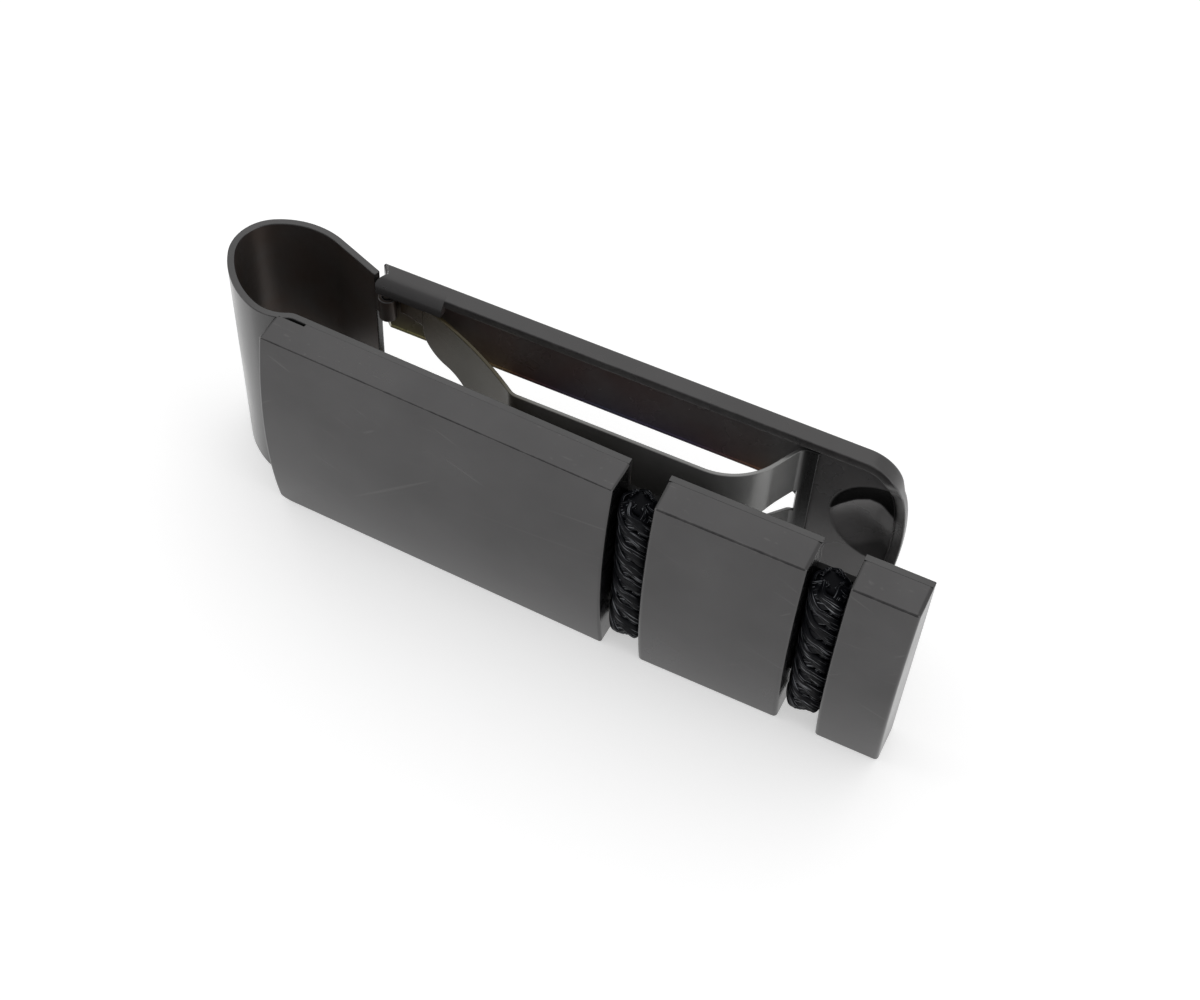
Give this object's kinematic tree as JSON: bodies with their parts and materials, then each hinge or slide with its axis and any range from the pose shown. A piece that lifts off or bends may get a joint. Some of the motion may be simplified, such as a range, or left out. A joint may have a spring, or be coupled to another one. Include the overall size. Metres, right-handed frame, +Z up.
{
  "type": "money clip",
  "caption": "Hinged spring money clip: dark plated steel front bar with braided cord inlays, a looped spring band and a windowed spring arm with a bowed leaf.",
  "frame": {"origin": "middle of the whole clip's box, on the plane of the long edge that it stands on", "axes": "+X along the front bar from the loop to the open end, +Y from the front bar to the spring arm, +Z up across the clip's width"},
  "size_m": [0.0588, 0.0144, 0.0197],
  "materials": {
    "cover_steel": "gunmetal black plating, satin sheen",
    "sheet_steel": "gunmetal black plating, near mirror, with heat tints inside",
    "leaf_steel": "black plating over bright spring steel, glossy",
    "pin_steel": "plain drawn steel wire",
    "cord_leather": "black braided leather cord, waxed"
  },
  "bodies": {
    "front_bar": {"spring_band": "sheet_steel", "long_cover": "cover_steel", "middle_cover": "cover_steel", "end_cover": "cover_steel", "left_cord_inlay": "cord_leather", "right_cord_inlay": "cord_leather"},
    "arm": {"spring_arm": "sheet_steel", "upper_hinge_pin": "pin_steel", "lower_hinge_pin": "pin_steel"},
    "leaf": {"leaf_spring": "leaf_steel"}
  },
  "joints": [
    {"name": "arm_hinge", "type": "hinge", "parent": "front_bar", "child": "arm", "pos_m": [-0.01724, 0.0031, 0.00985], "axis": [0, 0, 1], "range_deg": [0, 22], "stiffness_Nm_per_rad": 0.2, "springref_deg": -17.19},
    {"name": "leaf_press", "type": "slide", "parent": "arm", "child": "leaf", "axis": [-0.0358, 0.9994, 0], "range_m": [0, 0.0035], "stiffness_N_per_m": 900, "deforming": ["leaf_spring"]}
  ]
}
